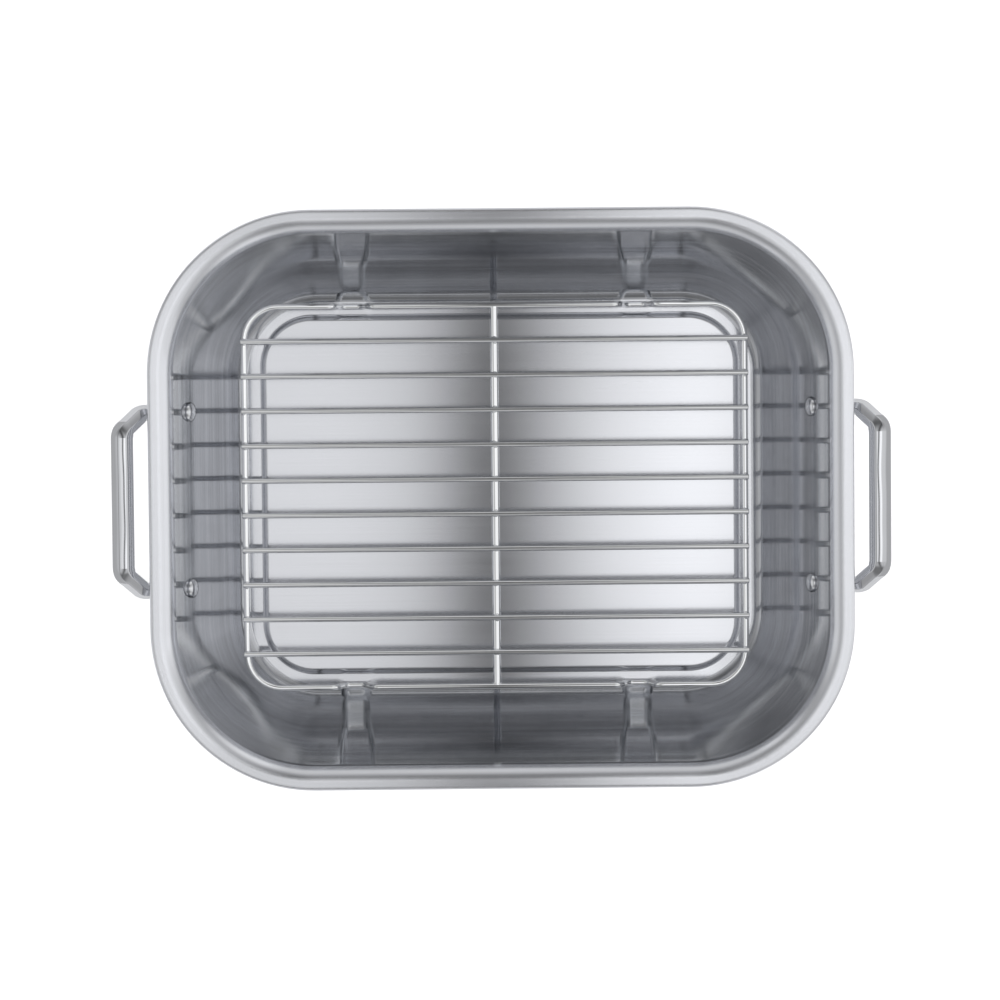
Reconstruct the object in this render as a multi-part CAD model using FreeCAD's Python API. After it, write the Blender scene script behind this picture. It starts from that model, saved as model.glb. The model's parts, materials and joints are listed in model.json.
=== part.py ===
import FreeCAD, Part
import math
import os

from FreeCAD import Placement, Rotation, Vector

# A drawn steel roasting pan with two riveted handles and a loose wire rack that stands in it.
# All sizes are millimetres, all angles degrees.
# The origin is the middle of the footprint, on the surface that the pan stands on.
# +X runs along the pan to the right handle, +Y across it to the rear, +Z up.

# Pan shell, drawn from one sheet
rim_length = 420.0
rim_width = 346.0
rim_corner_radius = 97.5
pan_height = 96.0
sheet = 1.0
shoulder_radius = 9.0
rim_flat = 2.5
curl_radius = 2.85
curl_turn = 210.0
base_fillet = 9.0

# The wall leans outwards by these angles and bows evenly from each to the next
wall_top_lean = 14.0
wall_middle_lean = 19.0
wall_foot_lean = 34.0
wall_middle_share = 0.4

# Raised panel pressed into the base, inside the flat gutter that the pan stands on
gutter_width = 6.8
panel_corner_share = 0.87
panel_rise = 2.5
step_run = 4.5

# Rivets, one at each end of each handle
rivet_corner_gap = 22.1
rivet_head_diameter = 12.0
rivet_head_height = 3.4
rivet_shank_diameter = 6.0
rivet_tail_diameter = 9.0
rivet_tail_height = 1.6
rivet_fit = 0.05

# Handles, cast bars that rise outwards from a boss on the wall at each end
handle_slope = 42.0
handle_rim_gap = 1.8
handle_reach = 48.8
handle_width = 9.6
handle_depth = 14.8
handle_edge_radius = 4.3
handle_bend_radius = 8.5
handle_corner_run = 14.5
handle_corner_cut = 11.0
boss_diameter = 20.0
boss_height = 7.0
boss_edge_radius = 1.5
spot_face_margin = 1.0

# Rack: one bent frame wire with four legs, a spine, and the cross wires on top of both.
# The insets are measured from the line where the base begins to curve up.
frame_wire = 4.0
frame_end_inset = 1.7
frame_side_inset = 1.35
frame_corner_radius = 21.5
leg_drop = 14.4
leg_offset = 88.5
leg_top_width = 23.0
leg_foot_width = 14.0
leg_bend_radius = 5.0
foot_clearance = 0.3
spine_wire = 5.0
spine_proud = 0.3
spine_bite = 1.2
cross_wire = 3.5
cross_wire_count = 10
cross_wire_end_radius = 0.6
weld_sink = 0.4
rack_shift_x = -3.4
rack_shift_y = -1.0

# Every cutting tool runs past the piece that it cuts by this much
overrun = 25.0

UP = Vector(0, 0, 1)
RIGHT = Vector(1, 0, 0)
REAR = Vector(0, 1, 0)
top_lean = math.radians(wall_top_lean)
middle_lean = math.radians(wall_middle_lean)
foot_lean = math.radians(wall_foot_lean)
slope = math.radians(handle_slope)

# Upright axes of the pan's four rounded corners
corner_axis_x = rim_length / 2 - rim_corner_radius
corner_axis_y = rim_width / 2 - rim_corner_radius

# Centres and ends of the shell section's arcs, with u measured outwards from a corner axis
curl_u = rim_corner_radius - curl_radius
curl_z = pan_height - curl_radius
shoulder_u = curl_u - rim_flat
shoulder_z = pan_height - shoulder_radius
wall_top_u = shoulder_u - shoulder_radius * math.cos(top_lean)
wall_top_z = shoulder_z + shoulder_radius * math.sin(top_lean)
fillet_z = sheet + base_fillet
wall_foot_z = fillet_z - base_fillet * math.sin(foot_lean)
wall_middle_z = wall_foot_z + wall_middle_share * (wall_top_z - wall_foot_z)

# Radii and centres of the wall's two long bows, which run into each other and into the foot's fillet
upper_bow = (wall_top_z - wall_middle_z) / (math.sin(middle_lean) - math.sin(top_lean))
upper_bow_u = wall_top_u - upper_bow * math.cos(top_lean)
upper_bow_z = wall_top_z + upper_bow * math.sin(top_lean)
lower_bow = (wall_middle_z - wall_foot_z) / (math.sin(foot_lean) - math.sin(middle_lean))
lower_bow_u = upper_bow_u + (upper_bow - lower_bow) * math.cos(middle_lean)
lower_bow_z = upper_bow_z - (upper_bow - lower_bow) * math.sin(middle_lean)
fillet_u = lower_bow_u + (lower_bow - base_fillet) * math.cos(foot_lean)

# Corners of the raised panel, a little tighter than an even gutter would make them
panel_corner_radius = panel_corner_share * (fillet_u - gutter_width)
panel_axis_x = corner_axis_x + fillet_u - gutter_width - panel_corner_radius
panel_axis_y = corner_axis_y + fillet_u - gutter_width - panel_corner_radius

# Where the rivets pass the wall's inner face: a gap before its corners begin, and as high on its upper bow
# as the handles' bars go and still clear the curl
rivet_y = corner_axis_y - rivet_corner_gap
bar_below_curl = curl_radius + handle_rim_gap + handle_depth / 2
curl_below_bow = (upper_bow_z - curl_z) * math.cos(slope) + (curl_u - upper_bow_u) * math.sin(slope)
rivet_lean = math.asin((curl_below_bow + bar_below_curl) / (upper_bow + sheet)) - slope
rivet_u = upper_bow_u + upper_bow * math.cos(rivet_lean)
rivet_z = upper_bow_z - upper_bow * math.sin(rivet_lean)

# Heights of the rack's wires, stacked up from the base of the pan
foot_z = sheet + foot_clearance + frame_wire / 2
rail_z = foot_z + leg_drop
spine_z = rail_z + frame_wire / 2 + spine_proud - spine_wire / 2
cross_z = rail_z + frame_wire / 2 + cross_wire / 2 - weld_sink

# The frame's feet stand on the gutter
frame_length = 2 * (corner_axis_x + fillet_u - frame_end_inset)
frame_width = 2 * (corner_axis_y + fillet_u - frame_side_inset)


def arc(u, z, radius, start, end):
    """An arc of an upright section about a centre, from one angle to another."""
    points = []
    for turn in (start, (start + end) / 2, end):
        angle = math.radians(turn)
        points.append(Vector(u + radius * math.cos(angle), 0, z + radius * math.sin(angle)))
    return Part.Arc(*points).toShape()


def line(start, end):
    """A straight edge between two points."""
    return Part.LineSegment(start, end).toShape()


def link(edge, following):
    """The straight edge from where one edge ends to where the next one starts."""
    return line(edge.valueAt(edge.LastParameter), following.valueAt(following.FirstParameter))


def face_of(edges):
    """The face inside a closed run of edges."""
    return Part.Face(Part.Wire(Part.sortEdges(edges)[0]))


def joined(pieces):
    """One solid from pieces that meet face to face."""
    return pieces[0].multiFuse(pieces[1:]).removeSplitter().Solids[0]


def rim_and_wall_section():
    """The sheet from the tip of the curl, over the shoulder and down the wall, to the flat base."""
    tip = 90 - curl_turn
    wall = 180 - wall_top_lean

    def skin(offset):
        return [
            arc(shoulder_u, shoulder_z, shoulder_radius - offset, 90, wall),
            arc(upper_bow_u, upper_bow_z, upper_bow + offset, -wall_top_lean, -wall_middle_lean),
            arc(lower_bow_u, lower_bow_z, lower_bow + offset, -wall_middle_lean, -wall_foot_lean),
            arc(fillet_u, fillet_z, base_fillet + offset, -wall_foot_lean, -90),
        ]

    curl = [arc(curl_u, curl_z, radius, tip, 90) for radius in (curl_radius, curl_radius - sheet)]
    inner, outer = skin(0), skin(sheet)
    links = [link(curl[0], inner[0]), link(curl[1], outer[0])]
    links += [
        line(inner[-1].valueAt(inner[-1].LastParameter), outer[-1].valueAt(outer[-1].LastParameter)),
        line(curl[0].valueAt(curl[0].FirstParameter), curl[1].valueAt(curl[1].FirstParameter)),
    ]
    return face_of(curl + inner + outer + links)


def step_section():
    """The S bend that lifts the panel above the flat ring that the pan stands on."""
    turn = 2 * math.degrees(math.atan2(panel_rise, step_run))
    middle_radius = step_run / (2 * math.sin(math.radians(turn)))
    inner = middle_radius - sheet / 2
    outer = middle_radius + sheet / 2
    low_z = sheet / 2 + middle_radius
    high_u = panel_corner_radius - step_run
    high_z = sheet / 2 + panel_rise - middle_radius
    top = [
        arc(panel_corner_radius, low_z, inner, -90, -90 - turn),
        arc(high_u, high_z, outer, 90 - turn, 90),
    ]
    bottom = [
        arc(high_u, high_z, inner, 90, 90 - turn),
        arc(panel_corner_radius, low_z, outer, -90 - turn, -90),
    ]
    return face_of(top + bottom + [link(top[1], bottom[0]), link(bottom[1], top[0])])


def ring(section, axis_x, axis_y):
    """Carry a section round four corner axes and along the sides between them."""
    corners = [Vector(x * axis_x, y * axis_y, 0) for x, y in ((1, 1), (-1, 1), (-1, -1), (1, -1))]
    pieces = []
    for quarter, corner in enumerate(corners):
        face = section.copy()
        face.rotate(Vector(), UP, 90 * quarter)
        face.translate(corner)
        pieces.append(face.revolve(corner, UP, 90))
        pieces.append(face.extrude(corners[quarter - 1] - corner))
    return pieces


def level_outline(axis_x, axis_y, radius, z):
    """A level rounded oblong, at one distance from four corner axes."""
    arcs = []
    for quarter, (x, y) in enumerate(((1, 1), (-1, 1), (-1, -1), (1, -1))):
        centre = Vector(x * axis_x, y * axis_y, z)
        turns = [math.radians(90 * quarter + 45 * step) for step in range(3)]
        points = [centre + Vector(math.cos(turn), math.sin(turn), 0) * radius for turn in turns]
        arcs.append(Part.Arc(*points).toShape())
    links = [link(edge, following) for edge, following in zip(arcs, arcs[1:] + arcs[:1])]
    return Part.Wire(Part.sortEdges(arcs + links)[0])


def bent_bar(points, radii, section):
    """Carry a section, placed at the first point, along straight runs and round the bends between."""
    pieces = []
    here = points[0]
    for before, corner, after, radius in zip(points, points[1:], points[2:], radii):
        inward = (corner - before).normalize()
        onward = (after - corner).normalize()
        turn = inward.getAngle(onward)
        setback = radius * math.tan(turn / 2)
        bend_start = corner - inward * setback
        pieces.append(section.extrude(bend_start - here))
        section.translate(bend_start - here)
        axis = inward.cross(onward).normalize()
        centre = bend_start + axis.cross(inward) * radius
        pieces.append(section.revolve(centre, axis, math.degrees(turn)))
        section.rotate(centre, axis, math.degrees(turn))
        here = corner + onward * setback
    pieces.append(section.extrude(points[-1] - here))
    return joined(pieces)


def rivet_place(side, y):
    """A rivet's own frame: its origin on the wall's inner face, its Z axis square out through the wall."""
    outwards = Vector(side * math.cos(rivet_lean), 0, -math.sin(rivet_lean))
    return Placement(Vector(side * (corner_axis_x + rivet_u), y, rivet_z), Rotation(UP, outwards))


def dome_edge(radius, height, base, direction):
    """The curved edge of a domed rivet end, from its border to its tip on the axis."""
    sphere = (radius ** 2 + height ** 2) / (2 * height)
    half_turn = math.asin(radius / sphere) / 2
    rise = height - sphere + sphere * math.cos(half_turn)
    border = Vector(radius, 0, base)
    middle = Vector(sphere * math.sin(half_turn), 0, base + direction * rise)
    tip = Vector(0, 0, base + direction * height)
    return Part.Arc(border, middle, tip).toShape()


def rivet(side, y):
    """A solid rivet: domed head set against the wall, shank through wall and boss, formed tail outside."""
    radius = rivet_head_diameter / 2
    shank = rivet_shank_diameter / 2
    length = sheet + boss_height
    root = -rivet_head_height / 2
    head = face_of([
        dome_edge(radius, rivet_head_height, 0, -1),
        line(Vector(radius, 0, 0), Vector(radius, 0, sheet)),
        line(Vector(radius, 0, sheet), Vector(0, 0, sheet)),
        line(Vector(0, 0, sheet), Vector(0, 0, -rivet_head_height)),
    ]).revolve(Vector(), UP, 360)
    stem = face_of([
        dome_edge(rivet_tail_diameter / 2, rivet_tail_height, length, 1),
        line(Vector(0, 0, root), Vector(shank, 0, root)),
        line(Vector(shank, 0, root), Vector(shank, 0, length)),
        line(Vector(shank, 0, length), Vector(rivet_tail_diameter / 2, 0, length)),
        line(Vector(0, 0, length + rivet_tail_height), Vector(0, 0, root)),
    ]).revolve(Vector(), UP, 360)
    head.Placement = stem.Placement = rivet_place(side, y)
    bow_axis = Vector(side * (corner_axis_x + upper_bow_u), -corner_axis_y, upper_bow_z)
    hollow = Part.makeCylinder(upper_bow, 2 * corner_axis_y, bow_axis, REAR)
    return joined([head.common(hollow), stem])


def rivet_bore(side, y):
    """The hole for a rivet's shank, through the wall and the handle."""
    radius = rivet_shank_diameter / 2 + rivet_fit
    depth = overrun + sheet + boss_height + overrun
    bore = Part.makeCylinder(radius, depth, UP * -overrun, UP)
    bore.Placement = rivet_place(side, y)
    return bore


def pan_shell():
    """Rim, walls, flat standing ring and raised panel in one sheet, with the rivet holes in it."""
    pieces = ring(rim_and_wall_section(), corner_axis_x, corner_axis_y)
    standing_ring = Part.Face([
        level_outline(corner_axis_x, corner_axis_y, fillet_u, 0),
        level_outline(panel_axis_x, panel_axis_y, panel_corner_radius, 0),
    ])
    standing_ring.validate()
    pieces.append(standing_ring.extrude(UP * sheet))
    pieces += ring(step_section(), panel_axis_x, panel_axis_y)
    panel = Part.Face(level_outline(panel_axis_x, panel_axis_y, panel_corner_radius - step_run, panel_rise))
    pieces.append(panel.extrude(UP * sheet))
    shell = joined(pieces)
    for side in (-1, 1):
        for end in (-1, 1):
            shell = shell.cut(rivet_bore(side, end * rivet_y))
    return shell.Solids[0]


def bar_section(centre, across, through):
    """The handle's oblong section with rounded edges, lying in two given directions."""
    half_width = handle_width / 2
    half_depth = handle_depth / 2
    flat_width = half_width - handle_edge_radius
    flat_depth = half_depth - handle_edge_radius
    rounding = handle_edge_radius * math.cos(math.radians(45))

    def at(a, b):
        return centre + across * a + through * b

    arcs = []
    for a, b in ((1, 1), (-1, 1), (-1, -1), (1, -1)):
        ends = [
            at(a * half_width, b * flat_depth),
            at(a * (flat_width + rounding), b * (flat_depth + rounding)),
            at(a * flat_width, b * half_depth),
        ]
        if a * b < 0:
            ends.reverse()
        arcs.append(Part.Arc(*ends).toShape())
    links = [link(edge, following) for edge, following in zip(arcs, arcs[1:] + arcs[:1])]
    return face_of(arcs + links)


def boss(side, y):
    """The round foot of a handle, begun inside the wall's sheet, with its outer edge eased."""
    foot = Part.makeCylinder(boss_diameter / 2, boss_height + sheet / 2, UP * (sheet / 2), UP)
    outer_edge = [edge for edge in foot.Edges if edge.BoundBox.ZMin > sheet + boss_height / 2]
    foot = foot.makeFillet(boss_edge_radius, outer_edge)
    foot.Placement = rivet_place(side, y)
    return foot


def handle(side, shell):
    """A bar on two bosses, cut to the wall that it sits on and spot-faced for the rivets' tails."""
    wall_frame = rivet_place(side, 0)
    start = wall_frame.multVec(UP * sheet)
    outwards = Vector(side * math.cos(slope), 0, math.sin(slope))
    through = Vector(-side * math.sin(slope), 0, math.cos(slope))
    half_path = [
        (-overrun, rivet_y),
        (handle_reach - handle_corner_run, rivet_y),
        (handle_reach, rivet_y - handle_corner_cut),
    ]
    path = half_path + [(along, -y) for along, y in reversed(half_path)]
    points = [start + outwards * along + REAR * y for along, y in path]
    bar = bent_bar(points, [handle_bend_radius] * 4, bar_section(points[0], REAR, through))
    inside = Part.makeBox(rim_length, rim_width, rim_length,
                          Vector(-rim_length / 2, -rim_width / 2, sheet / 2 - rim_length))
    inside.Placement = wall_frame
    solid = bar.cut(inside)
    for y in (-rivet_y, rivet_y):
        solid = solid.fuse(boss(side, y))
    for y in (-rivet_y, rivet_y):
        spot_radius = rivet_tail_diameter / 2 + spot_face_margin
        spot_face = Part.makeCylinder(spot_radius, overrun, UP * (sheet + boss_height), UP)
        spot_face.Placement = rivet_place(side, y)
        solid = solid.cut(spot_face).cut(rivet_bore(side, y))
    return solid.removeSplitter().cut(shell).Solids[0]


def leg(x, y, direction):
    """The corners of one leg, in the order that the wire meets them, each with its bend radius."""
    corners = [
        (-leg_top_width, rail_z),
        (-leg_foot_width, foot_z),
        (leg_foot_width, foot_z),
        (leg_top_width, rail_z),
    ]
    return [(Vector(x + direction * width / 2, y, z), leg_bend_radius) for width, z in corners]


def rack_frame():
    """One closed wire: a rounded oblong whose long sides each dip into two legs."""
    x = frame_length / 2
    y = frame_width / 2
    start = Vector(0, -y, rail_z)
    stops = leg(leg_offset, -y, 1)
    stops += [(Vector(x, end, rail_z), frame_corner_radius) for end in (-y, y)]
    stops += leg(leg_offset, y, -1) + leg(-leg_offset, y, -1)
    stops += [(Vector(-x, end, rail_z), frame_corner_radius) for end in (y, -y)]
    stops += leg(-leg_offset, -y, 1)
    points = [start] + [point for point, radius in stops] + [start]
    disc = face_of([Part.makeCircle(frame_wire / 2, start, RIGHT)])
    return bent_bar(points, [radius for point, radius in stops], disc)


def rack_spine(frame):
    """The thick middle wire, butted between the long sides with its ends saddled to the frame."""
    end = frame_width / 2 - frame_wire / 2 + spine_bite
    rod = Part.makeCylinder(spine_wire / 2, 2 * end, Vector(0, -end, spine_z), REAR)
    return rod.cut(frame).Solids[0]


def cross_rod(index, frame, spine):
    """A cross wire, notched where it is welded down on the frame's short sides and the spine."""
    pitch = frame_width / (cross_wire_count + 1)
    y = (index - (cross_wire_count - 1) / 2) * pitch
    length = frame_length + frame_wire
    rod = Part.makeCylinder(cross_wire / 2, length, Vector(-length / 2, y, cross_z), RIGHT)
    rims = [edge for edge in rod.Edges if isinstance(edge.Curve, Part.Circle)]
    return rod.makeFillet(cross_wire_end_radius, rims).cut(frame).cut(spine).Solids[0]


def rack():
    """All the rack's wires by node name, where the loose rack stands in the pan."""
    frame = rack_frame()
    spine = rack_spine(frame)
    wires = {"rack_frame": frame, "rack_spine": spine}
    for index in range(cross_wire_count):
        wires["cross_wire_{:02d}".format(index + 1)] = cross_rod(index, frame, spine)
    for wire in wires.values():
        wire.translate(RIGHT * rack_shift_x + REAR * rack_shift_y)
    return wires


def pan():
    """The shell, handles and rivets by node name."""
    shell = pan_shell()
    pieces = {"pan_shell": shell}
    for name, side in (("left", -1), ("right", 1)):
        pieces["handle_" + name] = handle(side, shell)
        for place, end in (("front", -1), ("rear", 1)):
            pieces["rivet_{}_{}".format(name, place)] = rivet(side, end * rivet_y)
    return pieces


os.makedirs("parts", exist_ok=True)
for node, solid in {**pan(), **rack()}.items():
    solid.exportStep("parts/{}.step".format(node))
    print(node, "valid" if solid.isValid() else "NOT VALID", round(solid.Volume, 1), "mm3")
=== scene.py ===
import json
import math

import bpy
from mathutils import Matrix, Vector

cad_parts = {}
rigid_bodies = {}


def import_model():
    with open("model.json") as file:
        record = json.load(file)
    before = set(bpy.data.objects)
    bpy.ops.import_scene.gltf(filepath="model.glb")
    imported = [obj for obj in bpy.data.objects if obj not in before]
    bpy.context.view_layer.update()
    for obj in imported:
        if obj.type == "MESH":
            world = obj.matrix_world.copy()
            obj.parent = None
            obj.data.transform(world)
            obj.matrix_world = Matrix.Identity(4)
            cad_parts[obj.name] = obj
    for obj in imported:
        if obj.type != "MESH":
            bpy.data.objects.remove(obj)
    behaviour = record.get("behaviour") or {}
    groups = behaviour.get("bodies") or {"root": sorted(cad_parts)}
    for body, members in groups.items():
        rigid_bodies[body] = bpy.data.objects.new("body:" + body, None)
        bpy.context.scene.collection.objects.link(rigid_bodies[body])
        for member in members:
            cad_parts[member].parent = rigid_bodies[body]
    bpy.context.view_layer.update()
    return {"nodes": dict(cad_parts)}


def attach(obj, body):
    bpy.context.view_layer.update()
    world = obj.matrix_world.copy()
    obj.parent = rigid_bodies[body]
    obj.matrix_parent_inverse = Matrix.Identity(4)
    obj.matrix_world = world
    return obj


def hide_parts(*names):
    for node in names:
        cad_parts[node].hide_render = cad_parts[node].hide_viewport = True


for leftover in list(bpy.data.objects):
    bpy.data.objects.remove(leftover)

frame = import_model()
nodes = frame["nodes"]
RIVETS = [name for name in nodes if name.startswith("rivet")]

MM = 0.001

# Sizes of the pan shell in millimetres, as in the part's source, but for the curl's squarer top
RIM_LENGTH = 420.0
RIM_WIDTH = 346.0
RIM_CORNER = 97.5
PAN_HEIGHT = 96.0
SHEET = 1.0
SHOULDER = 9.0
RIM_FLAT = 2.5
CURL = 2.85
CURL_TURN = 210.0
CURL_SQUARENESS = 3.0
FOOT_FILLET = 9.0
WALL_LEANS = (14.0, 19.0, 34.0)
WALL_MIDDLE_SHARE = 0.4
# The wall's inner skin is faced steeper than the sheet leans, in degrees. Only its normals turn, no point
# moves: this puts the rack's mirror images where the photograph has them. First the most that the lower wall
# turns, then the turn all round with what the right and the rear add, and the leans over which that fades out
WALL_TUCK = 4.1
WALL_SET = (-2.0, 1.1, 1.55)
WALL_SET_FADE = (24.0, 33.0)
GUTTER = 6.8
PANEL_CORNER_SHARE = 0.87
PANEL_RISE = 2.5
STEP_RUN = 4.5

# How finely the shell's section and its way round the pan are stepped
WALL_STEPS = 14
PRESSED_STEPS = 18
CURL_INSIDE_STEPS = 16
PANEL_EDGE_STEPS = 8
CORNER_STEPS = 28
SIDE_STEPS = 14

# Sizes and places of the rack's wires in millimetres, as in the part's source
FRAME_WIRE = 4.0
SPINE_WIRE = 5.0
RACK_PLACE = (-3.4, -1.0)
FRAME_HALF_LENGTH = 155.0
FRAME_HALF_WIDTH = 118.35
RAIL_HEIGHT = 17.7
SPINE_HEIGHT = 17.5
CROSS_WIRES = 10

# Half sizes of the weld lumps in millimetres: at the wires' ends, on the spine and at the spine's own ends.
# Then how far the first two sink into the wire under them, how uneven they are, and what makes each differ
WELD_END = (2.0, 2.3, 0.95)
WELD_SPINE = (2.3, 2.3, 0.95)
WELD_BUTT = (3.0, 1.3, 2.2)
WELD_END_SINK = 0.2
WELD_SPINE_SINK = 0.3
WELD_SWELL = (0.12, 0.08)
WELD_PHASES = (1.7, 2.3, 4.1)
WELD_ROWS = 7
WELD_STEPS = 14

# Sizes of the rivets in millimetres, and how far the wall leans where they sit
RIVET_HEAD = 12.0
RIVET_HEAD_HEIGHT = 3.4
RIVET_FLANGE = 0.5
RIVET_SHANK = 6.0
RIVET_TAIL = 9.0
RIVET_TAIL_HEIGHT = 1.6
RIVET_LEAN = 16.7
RIVET_HEAD_STEPS = 14
RIVET_TAIL_STEPS = 8
TURNED_STEPS = 48

# Sizes of the handles in millimetres, and the slope at which they rise outwards
HANDLE_SLOPE = 42.0
HANDLE_REACH = 48.8
HANDLE_CORNER_RUN = 14.5
HANDLE_CORNER_CUT = 11.0
HANDLE_BEND = 8.5
HANDLE_START = 2.0
HANDLE_BEND_STEPS = 12
HANDLE_GRIP_STEPS = 24
BOSS = 20.0
BOSS_HEIGHT = 7.0
BOSS_EDGE = 1.5
BOSS_SEAT = 0.3
BOSS_EDGE_STEPS = 8

# The handle's section from its outer foot over the crest to its inner foot. Each bend has a radius in
# millimetres, its facing from upright in degrees at both ends, and steps. Then how far the section's outside
# and top lie from the bar's middle
GRIP_BENDS = (
    (3.0, 150, 47, 12), (46.0, 47, 41, 6), (1.4, 41, 0.6, 10), (40.0, 0.6, -5.4, 10),
    (1.4, -5.4, -48, 10), (16.0, -48, -66, 8), (3.0, -66, -150, 10))
GRIP_OUTER = 6.5
GRIP_TOP = 6.2
# The arms' width as a share of the grip's, how nearly the bar runs front to rear where it is full, and the
# slight waves of its polish: degrees, and millimetres for each radian of the wave
ARM_WIDTH_SHARE = 0.74
GRIP_RUN_SHARE = 0.9
POLISH_WAVES = ((0.35, 11.0), (0.2, 5.3))

# What counts in a finish: brush lines, bands and handling in its gloss and tone, then lines and specks in
# its relief
LINES_SHARE = 0.45
BANDS_SHARE = 0.35
PATCHES_SHARE = 0.2
RELIEF_LINES_SHARE = 0.8
RELIEF_SPECKS_SHARE = 0.2
# Where the shell's drawn corners begin and where they are full, in metres from the pan's middle
CORNER_ALONG = (0.114, 0.140)
CORNER_ACROSS = (0.077, 0.103)


# Shader building blocks

def put(tree, kind, inputs=None, **settings):
    """Add a node, set its options, and link or set its inputs."""
    made = tree.nodes.new(kind)
    for name, value in settings.items():
        setattr(made, name, value)
    for name, value in (inputs or {}).items():
        socket = made.inputs[name]
        if isinstance(value, bpy.types.NodeSocket):
            tree.links.new(value, socket)
        else:
            socket.default_value = value
    return made


def maths(tree, operation, a, b=0.0):
    """One sum on two values or sockets."""
    made = put(tree, "ShaderNodeMath", operation=operation)
    for socket, value in zip(made.inputs, (a, b)):
        if isinstance(value, bpy.types.NodeSocket):
            tree.links.new(value, socket)
        else:
            socket.default_value = value
    return made.outputs[0]


def new_group(name, inputs, outputs):
    """A shader node group with named sockets, and its two end nodes."""
    tree = bpy.data.node_groups.new(name, "ShaderNodeTree")
    for label, kind, value in inputs:
        socket = tree.interface.new_socket(label, in_out="INPUT", socket_type=kind)
        if value is not None:
            socket.default_value = value
    for label, kind in outputs:
        tree.interface.new_socket(label, in_out="OUTPUT", socket_type=kind)
    return tree, tree.nodes.new("NodeGroupInput"), tree.nodes.new("NodeGroupOutput")


def brush_lines_group():
    """Fine scratches that run along the second axis of the coordinates it is given."""
    tree, given, result = new_group(
        "brush_lines",
        [("Coordinates", "NodeSocketVector", None), ("Line Pitch", "NodeSocketFloat", 0.0005),
         ("Line Length", "NodeSocketFloat", 0.06), ("Band Pitch", "NodeSocketFloat", 0.006)],
        [("Lines", "NodeSocketFloat"), ("Bands", "NodeSocketFloat")])

    def stretched(pitch, length, detail):
        across = maths(tree, "DIVIDE", 1.0, pitch)
        along = maths(tree, "DIVIDE", 1.0, length)
        parts = put(tree, "ShaderNodeSeparateXYZ", {0: given.outputs["Coordinates"]})
        placed = put(tree, "ShaderNodeCombineXYZ", {
            "X": maths(tree, "MULTIPLY", parts.outputs["X"], across),
            "Y": maths(tree, "MULTIPLY", parts.outputs["Y"], along),
            "Z": maths(tree, "MULTIPLY", parts.outputs["Z"], across)})
        noise = put(tree, "ShaderNodeTexNoise", {
            "Vector": placed.outputs[0], "Scale": 1.0, "Detail": detail, "Roughness": 0.6})
        return noise.outputs["Fac"]

    length = given.outputs["Line Length"]
    fine = stretched(given.outputs["Line Pitch"], length, 2.0)
    broad = stretched(given.outputs["Band Pitch"], maths(tree, "MULTIPLY", length, 4.0), 3.0)
    tree.links.new(fine, result.inputs["Lines"])
    tree.links.new(broad, result.inputs["Bands"])
    return tree


def handling_group():
    """Faint cloudy patches and specks, as wiping and handling leave on polished metal."""
    tree, given, result = new_group(
        "handling",
        [("Coordinates", "NodeSocketVector", None), ("Patch Size", "NodeSocketFloat", 0.03)],
        [("Patches", "NodeSocketFloat"), ("Specks", "NodeSocketFloat")])
    scale = maths(tree, "DIVIDE", 1.0, given.outputs["Patch Size"])
    cloudy = put(tree, "ShaderNodeTexNoise", {
        "Vector": given.outputs["Coordinates"], "Scale": scale, "Detail": 4.0, "Roughness": 0.55,
        "Distortion": 0.6})
    grain = put(tree, "ShaderNodeTexNoise", {
        "Vector": given.outputs["Coordinates"], "Scale": maths(tree, "MULTIPLY", scale, 40.0), "Detail": 2.0})
    tree.links.new(cloudy.outputs["Fac"], result.inputs["Patches"])
    tree.links.new(grain.outputs["Fac"], result.inputs["Specks"])
    return tree


BRUSH_LINES = brush_lines_group()
HANDLING = handling_group()


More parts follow.
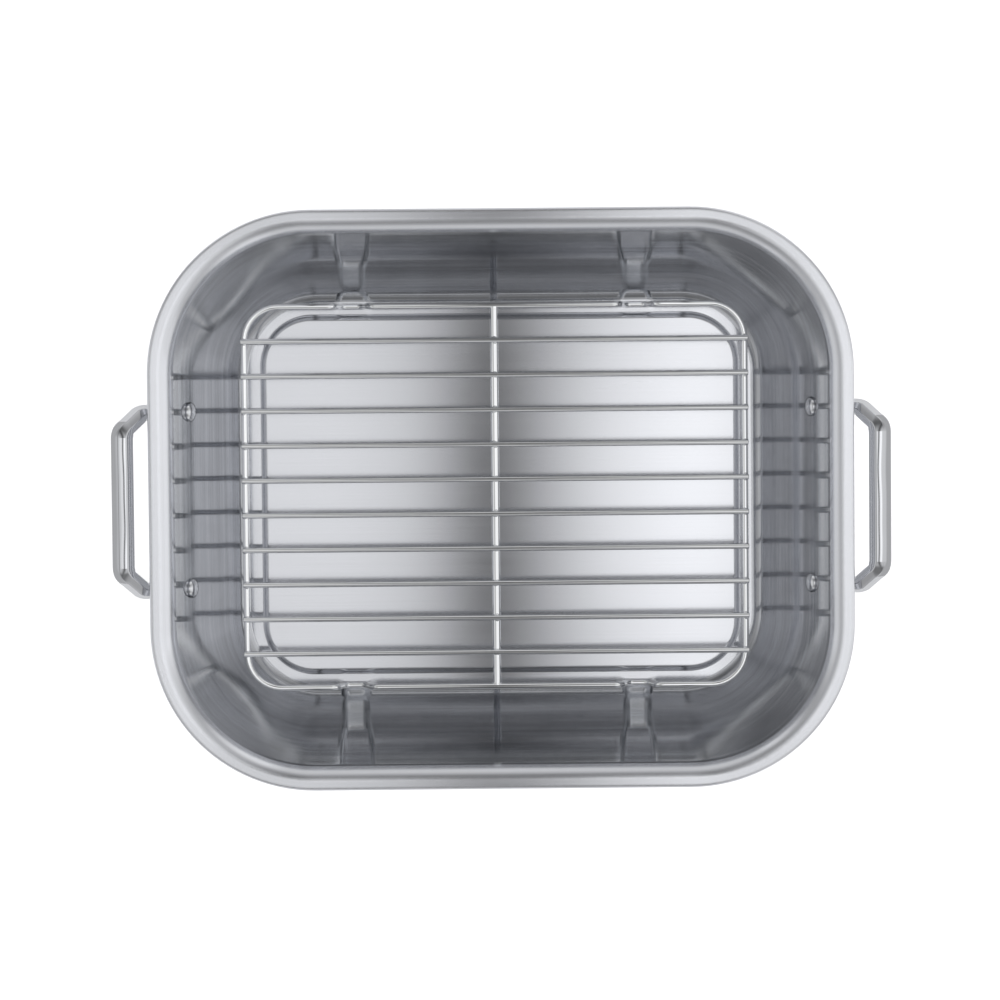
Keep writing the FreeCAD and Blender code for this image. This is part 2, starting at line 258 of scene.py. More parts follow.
def steel(name, tint, roughness, spread, pitch, length, bands, line_depth, anisotropy=0.0, uv=True, shade=0.0,
          window=0.2, dulled=None, corners=0.0):
    """A steel finish: tinted metal whose gloss and colour follow its brush lines and faint handling.

    Pitch, length and bands size the lines in metres, shade is how far the tint goes darker and paler, and
    window is how much of the lines' contrast counts. Dulled is two heights in metres, full and none, and the
    roughness added at the first. Corners is the roughness added in the shell's drawn corners.
    """
    material = bpy.data.materials.new(name)
    material.use_nodes = True
    tree = material.node_tree
    shader = tree.nodes["Principled BSDF"]
    shader.inputs["Metallic"].default_value = 1.0
    if uv:
        where = put(tree, "ShaderNodeUVMap", uv_map="lines").outputs["UV"]
    else:
        where = put(tree, "ShaderNodeTexCoord").outputs["Object"]
    place = put(tree, "ShaderNodeTexCoord").outputs["Object"]
    lines = put(tree, "ShaderNodeGroup", node_tree=BRUSH_LINES)
    tree.links.new(where, lines.inputs["Coordinates"])
    lines.inputs["Line Pitch"].default_value = pitch
    lines.inputs["Line Length"].default_value = length
    lines.inputs["Band Pitch"].default_value = bands
    touch = put(tree, "ShaderNodeGroup", node_tree=HANDLING)
    tree.links.new(place, touch.inputs["Coordinates"])

    mix = maths(tree, "ADD", maths(tree, "MULTIPLY", lines.outputs["Lines"], LINES_SHARE),
                maths(tree, "MULTIPLY", lines.outputs["Bands"], BANDS_SHARE))
    mix = maths(tree, "ADD", mix, maths(tree, "MULTIPLY", touch.outputs["Patches"], PATCHES_SHARE))
    counted = {"Value": mix, "From Min": 0.5 - window, "From Max": 0.5 + window}
    gloss = put(tree, "ShaderNodeMapRange",
                {**counted, "To Min": roughness - spread, "To Max": roughness + spread})
    dullness = gloss.outputs[0]
    if dulled:
        low, high, extra = dulled
        depth = put(tree, "ShaderNodeSeparateXYZ", {0: place}).outputs["Z"]
        worn = put(tree, "ShaderNodeMapRange",
                   {"Value": depth, "From Min": low, "From Max": high, "To Min": extra, "To Max": 0.0},
                   interpolation_type="SMOOTHSTEP")
        dullness = maths(tree, "ADD", dullness, worn.outputs[0])
    if corners:
        spread_out = put(tree, "ShaderNodeVectorMath", {0: place}, operation="ABSOLUTE").outputs[0]
        sides = put(tree, "ShaderNodeSeparateXYZ", {0: spread_out}).outputs
        rounded = []
        for letter, (low, high) in (("X", CORNER_ALONG), ("Y", CORNER_ACROSS)):
            rise = put(tree, "ShaderNodeMapRange",
                       {"Value": sides[letter], "From Min": low, "From Max": high},
                       interpolation_type="SMOOTHSTEP")
            rounded.append(rise.outputs[0])
        drawn = maths(tree, "MULTIPLY", rounded[0], rounded[1])
        dullness = maths(tree, "ADD", dullness, maths(tree, "MULTIPLY", drawn, corners))
    tree.links.new(dullness, shader.inputs["Roughness"])
    colour = put(tree, "ShaderNodeMix", data_type="RGBA")
    toned = put(tree, "ShaderNodeMapRange", counted)
    tree.links.new(toned.outputs[0], colour.inputs["Factor"])
    colour.inputs["A"].default_value = [channel * (1.0 - shade) for channel in tint] + [1.0]
    colour.inputs["B"].default_value = [min(1.0, channel * (1.0 + shade)) for channel in tint] + [1.0]
    tree.links.new(colour.outputs["Result"], shader.inputs["Base Color"])
    height = maths(tree, "ADD", maths(tree, "MULTIPLY", lines.outputs["Lines"], RELIEF_LINES_SHARE),
                   maths(tree, "MULTIPLY", touch.outputs["Specks"], RELIEF_SPECKS_SHARE))
    bump = put(tree, "ShaderNodeBump", {"Height": height, "Strength": 1.0, "Distance": line_depth})
    tree.links.new(bump.outputs["Normal"], shader.inputs["Normal"])
    if anisotropy:
        shader.inputs["Anisotropic"].default_value = anisotropy
        tangent = put(tree, "ShaderNodeTangent", direction_type="UV_MAP", uv_map="lines")
        tree.links.new(tangent.outputs[0], shader.inputs["Tangent"])
    return material


STEEL_TINT = (0.640, 0.650, 0.682)
# The rim's steel is tinted paler than the panel's steel of the same sheet: painted highlight
RIM_TINT_PAINTED_HIGHLIGHT = (0.778, 0.790, 0.828)
# The wall's steel is tinted darker than the panel's steel of the same sheet: painted shade
WALL_TINT_PAINTED_SHADE = (0.478, 0.488, 0.512)
OUTSIDE_TINT = (0.555, 0.565, 0.592)
HANDLE_TINT = (0.555, 0.563, 0.585)
RIVET_TINT = (0.732, 0.742, 0.770)
WIRE_TINT = (0.945, 0.958, 0.985)
PANEL_STEEL = steel("panel_brushed", STEEL_TINT, roughness=0.12, spread=0.015, pitch=0.0006, length=0.16,
                    bands=0.008, line_depth=2e-7, anisotropy=1.0, shade=0.08)
# Walls: a satin finish, with the darker tint as painted shade
WALL_STEEL = steel("wall_satin_painted_shade", WALL_TINT_PAINTED_SHADE, roughness=0.060, spread=0.018, pitch=0.0007, length=0.20,
                   bands=0.005, line_depth=3e-7, anisotropy=0.7, shade=0.16, window=0.1,
                   dulled=(0.006, 0.045, 0.06), corners=0.055)
# Rim: a satin finish, with the paler tint as painted highlight
RIM_STEEL = steel("rim_satin_painted_highlight", RIM_TINT_PAINTED_HIGHLIGHT, roughness=0.19, spread=0.02, pitch=0.0005, length=0.20,
                  bands=0.004, line_depth=3e-7, anisotropy=1.0, shade=0.06)
OUTSIDE_STEEL = steel("outside_brushed", OUTSIDE_TINT, roughness=0.27, spread=0.05, pitch=0.0005, length=0.12,
                      bands=0.006, line_depth=8e-7, anisotropy=0.6, shade=0.14)
HANDLE_STEEL = steel("handle_polish", HANDLE_TINT, roughness=0.04, spread=0.015, pitch=0.002, length=0.02,
                     bands=0.02, line_depth=2e-7, uv=False, shade=0.03)
RIVET_STEEL = steel("rivet_polish", RIVET_TINT, roughness=0.04, spread=0.012, pitch=0.001, length=0.01,
                    bands=0.01, line_depth=3e-7, uv=False, shade=0.04)
WIRE_STEEL = steel("wire_bright", WIRE_TINT, roughness=0.05, spread=0.02, pitch=0.0008, length=0.03,
                   bands=0.02, line_depth=3e-7, uv=False, shade=0.05)


# Pan shell, one section carried round the rim's rounded oblong

def arc(axis, u, z, radius, start, end, steps, facing):
    """Section points on an arc, each with the direction that the sheet's skin faces there."""
    points = []
    for step in range(steps + 1):
        angle = math.radians(start + (end - start) * step / steps)
        turn = (math.cos(angle), math.sin(angle))
        place = (u + radius * turn[0], z + radius * turn[1])
        points.append((axis, *place, (facing * turn[0], facing * turn[1])))
    return points


def pressed_arc(axis, u, z, radius, steps):
    """A quarter turn outwards from the top, pressed flatter than round, as section points like an arc's."""
    points = []
    for step in range(steps + 1):
        angle = math.radians(90.0 - 90.0 * step / steps)
        rays = (math.cos(angle), math.sin(angle))
        out, up = (max(0.0, ray) ** (2.0 / CURL_SQUARENESS) for ray in rays)
        slopes = (out ** (CURL_SQUARENESS - 1.0), up ** (CURL_SQUARENESS - 1.0))
        length = math.hypot(*slopes)
        facing = (slopes[0] / length, slopes[1] / length)
        points.append((axis, u + radius * out, z + radius * up, facing))
    return points


def tucked(run):
    """The lower wall's inner skin, its points kept in place and faced steeper, most of all half way up."""
    points = []
    for step, (axis, u, z, facing) in enumerate(run):
        lean = math.atan2(facing[1], -facing[0])
        lean -= math.radians(WALL_TUCK * math.sin(math.pi * step / (len(run) - 1)))
        points.append((axis, u, z, (-math.cos(lean), math.sin(lean))))
    return points


def shell_section():
    """The sheet's skin from the panel's edge over wall and rim to the curl's tip, and back underneath."""
    top, middle, foot = (math.radians(lean) for lean in WALL_LEANS)
    curl = (RIM_CORNER - CURL, PAN_HEIGHT - CURL)
    shoulder = (curl[0] - RIM_FLAT, PAN_HEIGHT - SHOULDER)
    wall_top = (shoulder[0] - SHOULDER * math.cos(top), shoulder[1] + SHOULDER * math.sin(top))
    fillet_z = SHEET + FOOT_FILLET
    foot_z = fillet_z - FOOT_FILLET * math.sin(foot)
    middle_z = foot_z + WALL_MIDDLE_SHARE * (wall_top[1] - foot_z)
    upper = (wall_top[1] - middle_z) / (math.sin(middle) - math.sin(top))
    upper_at = (wall_top[0] - upper * math.cos(top), wall_top[1] + upper * math.sin(top))
    lower = (middle_z - foot_z) / (math.sin(foot) - math.sin(middle))
    lower_at = (upper_at[0] + (upper - lower) * math.cos(middle),
                upper_at[1] - (upper - lower) * math.sin(middle))
    fillet_u = lower_at[0] + (lower - FOOT_FILLET) * math.cos(foot)
    corner_axis = (RIM_LENGTH / 2 - RIM_CORNER, RIM_WIDTH / 2 - RIM_CORNER)
    panel_corner = PANEL_CORNER_SHARE * (fillet_u - GUTTER)
    panel_axis = tuple(along + fillet_u - GUTTER - panel_corner for along in corner_axis)

    turn = 2 * math.degrees(math.atan2(PANEL_RISE, STEP_RUN))
    bend = STEP_RUN / (2 * math.sin(math.radians(turn)))
    tight, wide = bend - SHEET / 2, bend + SHEET / 2
    low_z = SHEET / 2 + bend
    high_u, high_z = panel_corner - STEP_RUN, SHEET / 2 + PANEL_RISE - bend
    tip = 90 - CURL_TURN

    def skin(offset, facing):
        top_lean, middle_lean, foot_lean = WALL_LEANS
        return [
            arc(corner_axis, fillet_u, fillet_z, FOOT_FILLET + offset, -90, -foot_lean, WALL_STEPS, -facing),
            arc(corner_axis, *lower_at, lower + offset, -foot_lean, -middle_lean, WALL_STEPS, -facing),
            arc(corner_axis, *upper_at, upper + offset, -middle_lean, -top_lean, WALL_STEPS, -facing),
            arc(corner_axis, *shoulder, SHOULDER - offset, 180 - top_lean, 90, WALL_STEPS, facing),
        ]

    inner = skin(0, 1)
    outer = skin(SHEET, -1)
    zones = [
        ("panel", arc(panel_axis, high_u, high_z, wide, 90, 90 - turn, PANEL_EDGE_STEPS, 1)),
        ("panel", arc(panel_axis, panel_corner, low_z, tight, -90 - turn, -90, PANEL_EDGE_STEPS, -1)),
        ("wall", inner[0]), ("wall", tucked(inner[1])), ("wall", inner[2]), ("rim", inner[3]),
        ("rim", pressed_arc(corner_axis, *curl, CURL, PRESSED_STEPS)),
        ("rim", arc(corner_axis, *curl, CURL, 0, tip, WALL_STEPS, 1)),
        ("outside", arc(corner_axis, *curl, CURL - SHEET, tip, 90, CURL_INSIDE_STEPS, -1)),
    ]
    zones += [("outside", run[::-1]) for run in reversed(outer)]
    zones += [
        ("outside", arc(panel_axis, panel_corner, low_z, wide, -90, -90 - turn, PANEL_EDGE_STEPS, 1)),
        ("outside", arc(panel_axis, high_u, high_z, tight, 90 - turn, 90, PANEL_EDGE_STEPS, -1)),
    ]
    rings = [(point, zone) for zone, run in zones for point in run]

    def doubled(index):
        here, onward = rings[index][0], rings[index + 1][0]
        return all(abs(a + b - c - d) < 1e-6 for a, b, c, d in (
            (here[0][0], here[1], onward[0][0], onward[1]), (0.0, here[2], 0.0, onward[2])))

    return [ring for index, ring in enumerate(rings) if index + 1 == len(rings) or not doubled(index)]


def stations(corner_steps, side_steps):
    """Places round the oblong: shares of the corner axes' distances, and the outward angle."""
    signs = [(1, 1), (-1, 1), (-1, -1), (1, -1)]
    places = []
    for quarter, here in enumerate(signs):
        onward = signs[(quarter + 1) % 4]
        for step in range(corner_steps):
            places.append((here, math.radians(90 * (quarter + step / corner_steps))))
        for step in range(side_steps):
            share = step / side_steps
            between = tuple(a + (b - a) * share for a, b in zip(here, onward))
            places.append((between, math.radians(90 * (quarter + 1))))
    return places


def build_shell():
    """The pan shell as one closed quad mesh with exact normals and coordinates along its brush lines."""
    rings = shell_section()
    round_places = stations(CORNER_STEPS, SIDE_STEPS)
    count = len(round_places)
    slots = {"panel": 0, "wall": 1, "rim": 2, "outside": 3}

    vertices = []
    for (axis, u, z, _), _ in rings:
        for (along, across), angle in round_places:
            vertices.append((MM * (along * axis[0] + u * math.cos(angle)),
                             MM * (across * axis[1] + u * math.sin(angle)), MM * z))

    def normal(ring, place):
        facing = rings[ring][0][3]
        angle = round_places[place][1]
        if rings[ring][1] == "wall":
            lean = math.degrees(math.atan2(facing[1], -facing[0]))
            low, high = WALL_SET_FADE
            fade = max(0.0, min(1.0, (high - lean) / (high - low)))
            set_here = WALL_SET[0] + WALL_SET[1] * math.cos(angle) + WALL_SET[2] * math.sin(angle)
            lean = math.radians(lean + fade * set_here)
            facing = (-math.cos(lean), math.sin(lean))
        return (facing[0] * math.cos(angle), facing[0] * math.sin(angle), facing[1])

    run = [0.0]
    for (before, _), (after, _) in zip(rings, rings[1:]):
        run.append(run[-1] + MM * math.hypot(after[1] - before[1], after[2] - before[2]))
    girth = [0.0]
    mid = next(index for index, (_, zone) in enumerate(rings) if zone == "rim")
    for place in range(count):
        a = Vector(vertices[mid * count + place])
        b = Vector(vertices[mid * count + (place + 1) % count])
        girth.append(girth[-1] + (b - a).length)

    faces, normals, coordinates, materials = [], [], [], []
    for ring in range(len(rings) - 1):
        zone = rings[ring][1]
        for place in range(count):
            following = (place + 1) % count
            faces.append((ring * count + place, (ring + 1) * count + place,
                          (ring + 1) * count + following, ring * count + following))
            if zone == "rim" and rings[ring + 1][1] == "outside":
                a, b, c, d = (Vector(vertices[index]) for index in faces[-1])
                flat = (c - a).cross(d - b).normalized()
                normals += [flat] * 4
            else:
                normals += [normal(ring, place), normal(ring + 1, place), normal(ring + 1, following),
                            normal(ring, following)]
            coordinates += [(run[ring], girth[place]), (run[ring + 1], girth[place]),
                            (run[ring + 1], girth[place + 1]), (run[ring], girth[place + 1])]
            materials.append(slots[zone])
    top = list(range(count))
    last = (len(rings) - 1) * count
    bottom = [last + place for place in reversed(range(count))]
    for face, up, slot in ((top, 1.0, slots["panel"]), (bottom, -1.0, slots["outside"])):
        faces.append(face)
        normals += [(0.0, 0.0, up)] * count
        coordinates += [(vertices[index][1], vertices[index][0]) for index in face]
        materials.append(slot)

    mesh = bpy.data.meshes.new("pan_shell_skin")
    mesh.from_pydata(vertices, [], faces)
    layer = mesh.uv_layers.new(name="lines")
    for index, place in enumerate(coordinates):
        layer.data[index].uv = place
    for polygon, slot in zip(mesh.polygons, materials):
        polygon.material_index = slot
        polygon.use_smooth = True
    for material in (PANEL_STEEL, WALL_STEEL, RIM_STEEL, OUTSIDE_STEEL):
        mesh.materials.append(material)
    mesh.normals_split_custom_set([tuple(direction) for direction in normals])
    shell = bpy.data.objects.new("pan_shell_skin", mesh)
    bpy.context.scene.collection.objects.link(shell)
    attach(shell, "pan")
    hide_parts("pan_shell")


build_shell()


# Rivets and welds

def add_piece(name, vertices, faces, finish, body, replaced=None):
    """A smooth piece from its points and faces, set on a body of the frame."""
    mesh = bpy.data.meshes.new(name)
    mesh.from_pydata(vertices, [], faces)
    for polygon in mesh.polygons:
        polygon.use_smooth = True
    mesh.materials.append(finish)
    piece = bpy.data.objects.new(name, mesh)
    bpy.context.scene.collection.objects.link(piece)
    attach(piece, body)
    if replaced:
        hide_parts(replaced)
    return piece


def turned(profile, origin, axis, steps):
    """Points and faces of a profile of (distance, radius) turned about an axis, closed at both ends."""
    across = axis.cross(Vector((0.0, 1.0, 0.0))).normalized()
    beside = axis.cross(across)
    vertices, faces, rows = [], [], []
    for distance, radius in profile:
        middle = origin + axis * distance
        if radius == 0.0:
            rows.append([len(vertices)] * steps)
            vertices.append(middle)
            continue
        rows.append(list(range(len(vertices), len(vertices) + steps)))
        for step in range(steps):
            angle = math.tau * step / steps
            ray = across * (radius * math.cos(angle)) + beside * (radius * math.sin(angle))
            vertices.append(middle + ray)
    for low, high in zip(rows, rows[1:]):
        for step in range(steps):
            following = (step + 1) % steps
            corners = [low[step], low[following], high[following], high[step]]
            faces.append(tuple(dict.fromkeys(corners)))
    return vertices, faces


def rivet_line(name):
    """A rivet's axis towards the inside of the pan, its outer end, and its length."""
    node = nodes[name]
    side = -1.0 if "left" in name else 1.0
    lean = math.radians(RIVET_LEAN)
    axis = Vector((-side * math.cos(lean), 0.0, math.sin(lean)))
    points = [node.matrix_world @ vertex.co for vertex in node.data.vertices]
    crown = max(points, key=axis.dot)
    span = (crown - min(points, key=axis.dot)).dot(axis)
    middle = (min(point.y for point in points) + max(point.y for point in points)) / 2
    return axis, Vector((crown.x, middle, crown.z)) - axis * span, span


def build_rivet(name):
    """A rivet with a full round head inside the pan, its shank, and a flatter tail on the handle's boss."""
    axis, origin, span = rivet_line(name)

    def dome(radius, height, foot, steps):
        turns = [math.radians(90.0 * step / steps) for step in range(1, steps + 1)]
        return [(foot + height * math.sin(turn), radius * math.cos(turn)) for turn in turns[:-1]] + [
            (foot + height, 0.0)]

    seat = span - RIVET_HEAD_HEIGHT * MM
    flange = RIVET_FLANGE * MM
    head, shank, tail_radius = (size * MM / 2 for size in (RIVET_HEAD, RIVET_SHANK, RIVET_TAIL))
    tail_height = RIVET_TAIL_HEIGHT * MM
    tail = dome(tail_radius, tail_height, 0.0, RIVET_TAIL_STEPS)
    profile = [(tail_height - rise, radius) for rise, radius in reversed(tail)]
    profile += [(tail_height, tail_radius), (tail_height, shank), (seat, shank), (seat, head),
                (seat + flange, head)]
    profile += dome(head, RIVET_HEAD_HEIGHT * MM - flange, seat + flange, RIVET_HEAD_STEPS)
    vertices, faces = turned(profile, origin, axis, TURNED_STEPS)
    add_piece(name + "_turned", vertices, faces, RIVET_STEEL, "pan", name)


def build_welds():
    """The small lumps of weld where each cross wire lies on the frame and on the spine."""
    vertices, faces = [], []

    def lump(centre, size, phase):
        rings = []
        for row in range(WELD_ROWS + 1):
            polar = math.pi * row / WELD_ROWS
            if row in (0, WELD_ROWS):
                rings.append([len(vertices)] * WELD_STEPS)
                rays = (0.0, 0.0, math.cos(polar))
                vertices.append(tuple(MM * (at + half * ray) for at, half, ray in zip(centre, size, rays)))
                continue
            rings.append(list(range(len(vertices), len(vertices) + WELD_STEPS)))
            for step in range(WELD_STEPS):
                angle = math.tau * step / WELD_STEPS
                swell = (1.0 + WELD_SWELL[0] * math.sin(2.0 * angle + phase)
                         + WELD_SWELL[1] * math.sin(3.0 * angle - 2.0 * phase + polar))
                rays = (math.sin(polar) * math.cos(angle), math.sin(polar) * math.sin(angle), math.cos(polar))
                vertices.append(tuple(MM * (at + half * swell * ray)
                                      for at, half, ray in zip(centre, size, rays)))
        for low, high in zip(rings, rings[1:]):
            for step in range(WELD_STEPS):
                following = (step + 1) % WELD_STEPS
                corners = (low[step], high[step], high[following], low[following])
                faces.append(tuple(dict.fromkeys(corners)))

    end_phase, spine_phase, butt_phase = WELD_PHASES
    on_frame = RAIL_HEIGHT + FRAME_WIRE / 2 - WELD_END_SINK
    on_spine = SPINE_HEIGHT + SPINE_WIRE / 2 - WELD_SPINE_SINK
    for number in range(1, CROSS_WIRES + 1):
        wire = nodes["cross_wire_%02d" % number]
        depths = [(wire.matrix_world @ vertex.co).y / MM for vertex in wire.data.vertices]
        y = (min(depths) + max(depths)) / 2
        for end in (-1.0, 1.0):
            x = RACK_PLACE[0] + end * FRAME_HALF_LENGTH
            lump((x, y, on_frame), WELD_END, end_phase * number + end)
        lump((RACK_PLACE[0], y, on_spine), WELD_SPINE, spine_phase * number)
    for end in (-1.0, 1.0):
        y = RACK_PLACE[1] + end * (FRAME_HALF_WIDTH - FRAME_WIRE / 2)
        lump((RACK_PLACE[0], y, RAIL_HEIGHT), WELD_BUTT, butt_phase * end)
    add_piece("rack_welds", vertices, faces, WIRE_STEEL, "rack")


# Handles

def grip_section():
    """The handle's section from its outer foot over the crest to its inner foot: place and facing angle."""
    points = []
    x = z = 0.0
    for radius, start, end, steps in GRIP_BENDS:
        first = math.radians(start)
        for step in range(steps + 1):
            angle = math.radians(start + (end - start) * step / steps)
            at = (x - radius * (math.sin(first) - math.sin(angle)),
                  z + radius * (math.cos(angle) - math.cos(first)))
            if step or not points:
                points.append((at[0], at[1], angle))
        x, z = points[-1][:2]
    outer = max(point[0] for point in points)
    top = max(point[1] for point in points)
    return [(x - outer + GRIP_OUTER, z - top + GRIP_TOP, angle) for x, z, angle in points]


def handle_path(side):
    """Points and directions along the bar's middle, from one boss round both bends to the other."""
    ends = {}
    for end in ("front", "rear"):
        axis, origin, span = rivet_line("rivet_%s_%s" % ("left" if side < 0 else "right", end))
        ends[end] = origin + axis * (span - (RIVET_HEAD_HEIGHT + SHEET) * MM)
    slope = math.radians(HANDLE_SLOPE)
    outwards = Vector((side * math.cos(slope), 0.0, math.sin(slope)))
    rear = Vector((0.0, 1.0, 0.0))
    middle = (ends["front"] + ends["rear"]) / 2
    half = (ends["rear"].y - ends["front"].y) / 2 / MM
    marks = [(HANDLE_START, half), (HANDLE_REACH - HANDLE_CORNER_RUN, half),
             (HANDLE_REACH, half - HANDLE_CORNER_CUT)]
    marks += [(along, -y) for along, y in reversed(marks)]
    corners = [middle + outwards * (along * MM) + rear * (y * MM) for along, y in marks]
    bend = HANDLE_BEND * MM
    last_before_grip = len(corners) // 2 - 1
    places = []
    for number, corner in enumerate(corners):
        if number in (0, len(corners) - 1):
            other = corners[1] if number == 0 else corners[-2]
            onward = (other - corner).normalized() * (1.0 if number == 0 else -1.0)
            places.append((corner, onward))
            continue
        inward = (corner - corners[number - 1]).normalized()
        onward = (corners[number + 1] - corner).normalized()
        turn = inward.angle(onward)
        setback = bend * math.tan(turn / 2)
        lateral = (onward - inward * inward.dot(onward)).normalized()
        centre = corner - inward * setback + lateral * bend
        for step in range(HANDLE_BEND_STEPS + 1):
            angle = turn * step / HANDLE_BEND_STEPS
            here = centre - lateral * (bend * math.cos(angle)) + inward * (bend * math.sin(angle))
            places.append((here, inward * math.cos(angle) + lateral * math.sin(angle)))
        if number == last_before_grip:
            after = corners[number + 1] - onward * setback
            for step in range(1, HANDLE_GRIP_STEPS):
                share = step / HANDLE_GRIP_STEPS
                places.append((here + (after - here) * share, onward))
    return places


def build_handle(name):
    """A cast and polished bar, narrower at its two arms, that ends in a round boss at each rivet."""
    side = -1.0 if "left" in name else 1.0
    section = grip_section()
    count = len(section)
    vertices, normals, faces = [], [], []
    places = handle_path(side)
    axis, end, span = rivet_line("rivet_%s_front" % ("left" if side < 0 else "right"))
    wall = end + axis * (span - (RIVET_HEAD_HEIGHT + SHEET / 2) * MM)
    run = 0.0
    for number, (here, onward) in enumerate(places):
        if number:
            run += (here - places[number - 1][0]).length / MM
        up = (Vector((0.0, 0.0, 1.0)) - onward * onward.z).normalized()
        out = onward.cross(up) * -side
        full = min(1.0, abs(onward.y) / GRIP_RUN_SHARE) ** 2
        narrow = ARM_WIDTH_SHARE + (1.0 - ARM_WIDTH_SHARE) * full
        (swing, pace), (ripple, ripple_pace) = POLISH_WAVES
        wave = math.radians(swing * math.sin(run / pace + side) + ripple * math.sin(run / ripple_pace))
        for x, z, angle in section:
            point = here + out * (x * narrow * MM) + up * (z * MM)
            if number in (0, len(places) - 1):
                point += onward * ((wall - point).dot(axis) / onward.dot(axis))
            vertices.append(point)
            facing = out * (math.sin(angle + wave) / narrow) + up * math.cos(angle + wave)
            normals.append(facing.normalized())
    for number in range(len(places) - 1):
        for step in range(count):
            following = (step + 1) % count
            low, high = number * count, (number + 1) * count
            faces.append((low + step, low + following, high + following, high + step))
    faces.append(tuple(reversed(range(count))))
    faces.append(tuple(range((len(places) - 1) * count, len(places) * count)))
    if side < 0:
        faces = [tuple(reversed(face)) for face in faces]
    piece = add_piece(name + "_cast", vertices, faces, HANDLE_STEEL, "pan", name)
    mesh = piece.data
    for polygon in list(mesh.polygons)[-2:]:
        polygon.use_smooth = False
    mesh.normals_split_custom_set_from_vertices([tuple(direction) for direction in normals])


def build_bosses():
    """The round feet of the handles against the wall, each with its outer edge eased."""
    radius = BOSS / 2
    profile = [(-BOSS_HEIGHT, 0.0)]
    for step in reversed(range(BOSS_EDGE_STEPS + 1)):
        turn = math.radians(90.0 * step / BOSS_EDGE_STEPS)
        profile.append((-BOSS_HEIGHT + BOSS_EDGE - BOSS_EDGE * math.sin(turn),
                        radius - BOSS_EDGE + BOSS_EDGE * math.cos(turn)))
    profile += [(BOSS_SEAT, radius), (BOSS_SEAT, 0.0)]
    profile = [(place * MM, size * MM) for place, size in profile]
    for name in RIVETS:
        axis, origin, span = rivet_line(name)
        wall = origin + axis * (span - (RIVET_HEAD_HEIGHT + SHEET) * MM)
        vertices, faces = turned(profile, wall, axis, TURNED_STEPS)
        add_piece(name.replace("rivet", "handle_boss"), vertices, faces, HANDLE_STEEL, "pan")


build_welds()
build_bosses()
for name in ("handle_left", "handle_right"):
    build_handle(name)
for name in RIVETS:
    build_rivet(name)

for name, node in nodes.items():
    if "wire" in name or name.startswith("rack"):
        for slot in node.material_slots:
            slot.material = WIRE_STEEL


# Studio: white floor, soft light from both sides with a dark gap overhead, and the camera

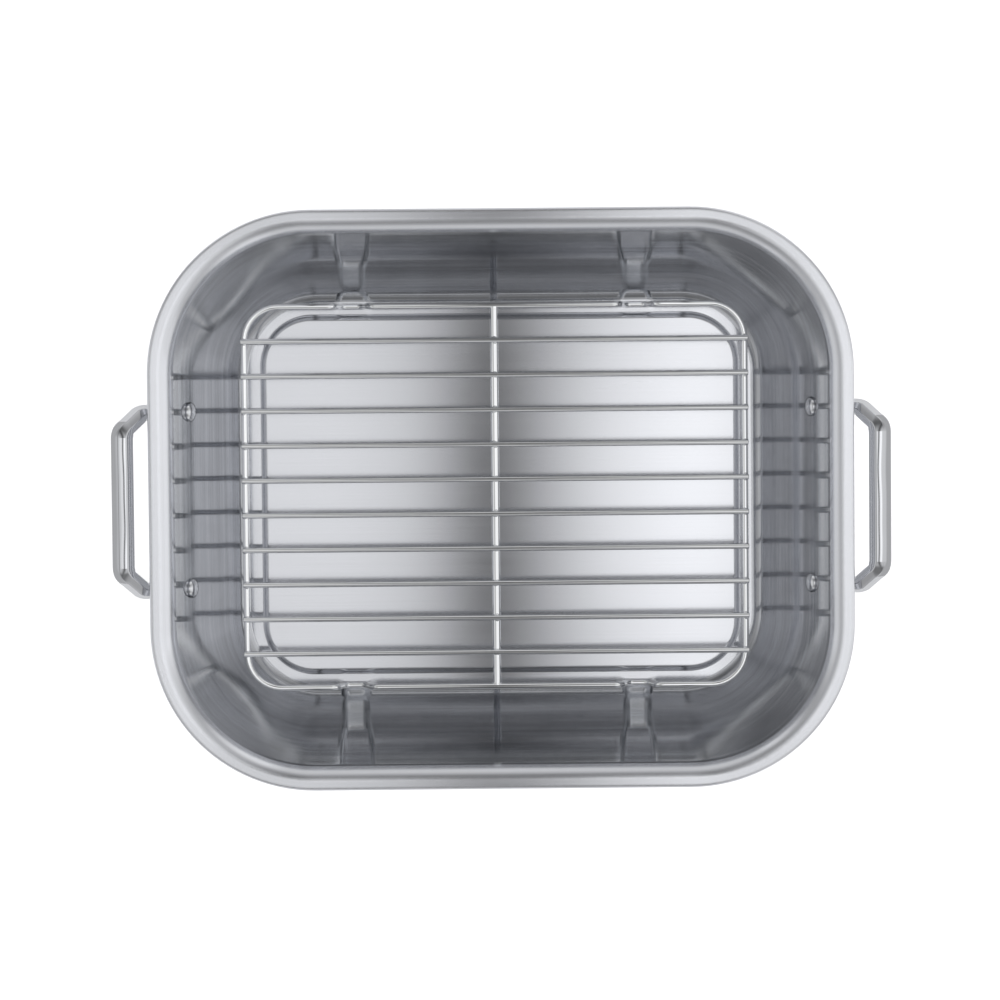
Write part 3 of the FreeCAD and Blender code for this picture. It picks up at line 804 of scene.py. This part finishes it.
def studio_light():
    """Two broad soft lights left and right of a narrow dark gap overhead, dim in front and behind."""
    world = bpy.data.worlds.new("studio")
    bpy.context.scene.world = world
    world.use_nodes = True
    tree = world.node_tree
    tree.nodes.clear()
    direction = put(tree, "ShaderNodeTexCoord").outputs["Generated"]
    parts = put(tree, "ShaderNodeSeparateXYZ", {0: direction})

    def profile(value, stops, half=1.0):
        top = 2.5
        placed = put(tree, "ShaderNodeMapRange", {"Value": value, "From Min": -half, "From Max": half})
        ramp = put(tree, "ShaderNodeValToRGB", {"Fac": placed.outputs[0]})
        ramp.color_ramp.interpolation = "LINEAR"
        elements = ramp.color_ramp.elements
        while len(elements) < len(stops):
            elements.new(0.5)
        for element, (place, level) in zip(elements, stops):
            element.position = (place / half + 1.0) / 2.0
            element.color = (level / top, level / top, level / top, 1.0)
        return maths(tree, "MULTIPLY", ramp.outputs["Color"], top)

    across, along, rising = parts.outputs["X"], parts.outputs["Y"], parts.outputs["Z"]
    # Each stop is a direction's part along one axis and the light's level or share there
    left = [(-1.0, 1.0), (-0.85, 0.95), (-0.72, 0.7), (-0.6, 0.52), (-0.47, 0.44), (-0.3, 0.85),
            (-0.113, 1.2), (-0.083, 1.52), (-0.052, 1.64)]
    right = [(0.075, 2.28), (0.113, 1.25), (0.5, 1.2), (0.7, 1.12), (0.85, 1.3), (1.0, 1.2)]
    boxes = profile(across, left + right)
    gap_reach = 0.125
    near_gap = profile(across, [
        (-gap_reach, 1.0), (-0.05, 1.0), (-0.025, 0.82), (-0.012, 0.48), (0.002, 0.02), (0.016, 0.40),
        (0.03, 0.71), (0.043, 0.90), (0.065, 1.0), (gap_reach, 1.0)], gap_reach)
    wide_gap = profile(across, [
        (-gap_reach, 1.0), (-0.1, 0.84), (-0.04, 0.47), (0.002, 0.08), (0.01, 0.08), (0.06, 0.43),
        (0.1, 0.72), (gap_reach, 0.9)], gap_reach)
    overhead = profile(along, [
        (-1.0, 0.0), (-0.15, 0.0), (-0.11, 1.0), (0.03, 1.0), (0.055, 0.0), (1.0, 0.0)])
    reach = profile(along, [
        (-1.0, 0.0), (-0.7, 0.0), (-0.44, 0.12), (-0.38, 0.48), (-0.3, 0.68), (-0.2, 0.82), (-0.05, 0.94),
        (-0.03, 1.0), (0.05, 1.0), (0.1, 0.9), (0.3, 0.44), (0.45, 0.13), (0.55, 0.03),
        (0.7, 0.0), (1.0, 0.0)])
    room = profile(along, [
        (-1.0, 0.95), (-0.88, 0.85), (-0.78, 0.56), (-0.7, 0.34), (-0.5, 0.27), (-0.28, 0.55), (0.0, 0.3),
        (0.19, 0.15), (0.35, 0.14), (0.5, 0.16), (0.6, 0.27), (0.7, 0.55), (0.85, 0.85), (1.0, 0.95)])
    edges = profile(across, [
        (-1.0, 0.24), (-0.7, 0.35), (-0.5, 0.30), (-0.4, 0.06), (-0.3, 0.0), (0.15, 0.0), (0.3, 0.3),
        (0.5, 0.4), (0.7, 0.4), (1.0, 0.3)])
    room = maths(tree, "ADD", room, edges)
    horizon, below = -0.06, 0.8
    above = put(tree, "ShaderNodeMapRange", {"Value": rising, "From Min": horizon, "From Max": 0.0})
    sky = put(tree, "ShaderNodeMix", data_type="FLOAT",
              inputs={"Factor": overhead, "A": wide_gap, "B": near_gap})
    sky = maths(tree, "MULTIPLY", boxes, sky.outputs[0])
    lit = put(tree, "ShaderNodeMix", data_type="FLOAT", inputs={"Factor": reach, "A": room, "B": sky})
    level = put(tree, "ShaderNodeMix", data_type="FLOAT",
                inputs={"Factor": above.outputs[0], "A": below, "B": lit.outputs[0]}).outputs[0]
    shown = put(tree, "ShaderNodeLightPath").outputs["Is Camera Ray"]
    strength = put(tree, "ShaderNodeMix", data_type="FLOAT", inputs={"Factor": shown, "A": level, "B": 1.0})
    back = put(tree, "ShaderNodeBackground", {"Strength": strength.outputs[0]})
    result = put(tree, "ShaderNodeOutputWorld")
    tree.links.new(back.outputs[0], result.inputs["Surface"])


def white_floor():
    """A pale floor that reads as white in the photograph's view, and keeps the pan's shadow."""
    half = 0.36
    low = -0.0004
    seen_glow, mirrored_glow = 0.75, 0.5
    mesh = bpy.data.meshes.new("floor")
    mesh.from_pydata([(-half, -half, low), (half, -half, low), (half, half, low), (-half, half, low)], [],
                     [(0, 1, 2, 3)])
    floor = bpy.data.objects.new("floor", mesh)
    bpy.context.scene.collection.objects.link(floor)
    material = bpy.data.materials.new("floor_white")
    material.use_nodes = True
    tree = material.node_tree
    shader = tree.nodes["Principled BSDF"]
    shader.inputs["Base Color"].default_value = (0.9, 0.9, 0.9, 1.0)
    shader.inputs["Roughness"].default_value = 0.9
    path = put(tree, "ShaderNodeLightPath")
    mirrored = maths(tree, "MAXIMUM", path.outputs["Is Glossy Ray"], path.outputs["Is Transmission Ray"])
    seen = maths(tree, "MAXIMUM", maths(tree, "MULTIPLY", path.outputs["Is Camera Ray"], seen_glow),
                 maths(tree, "MULTIPLY", mirrored, mirrored_glow))
    glow = put(tree, "ShaderNodeEmission", {"Color": (1.0, 1.0, 1.0, 1.0), "Strength": seen})
    both = put(tree, "ShaderNodeAddShader")
    tree.links.new(shader.outputs[0], both.inputs[0])
    tree.links.new(glow.outputs[0], both.inputs[1])
    tree.links.new(both.outputs[0], tree.nodes["Material Output"].inputs["Surface"])
    mesh.materials.append(material)


def place_camera():
    """The photograph's viewpoint, high above the pan's rear half, rolled to suit the turned rack."""
    lens = bpy.data.cameras.new("camera")
    lens.sensor_width = 36.0
    lens.lens = 105.81
    lens.clip_start = 0.01
    camera = bpy.data.objects.new("camera", lens)
    camera.location = (-0.01012, 0.07573, 1.84027)
    camera.rotation_euler = (-0.0434, -0.0056, -0.0089)
    bpy.context.scene.collection.objects.link(camera)
    bpy.context.scene.camera = camera


studio_light()
white_floor()
place_camera()
bpy.context.scene.view_settings.view_transform = "Standard"

bpy.context.view_layer.update()
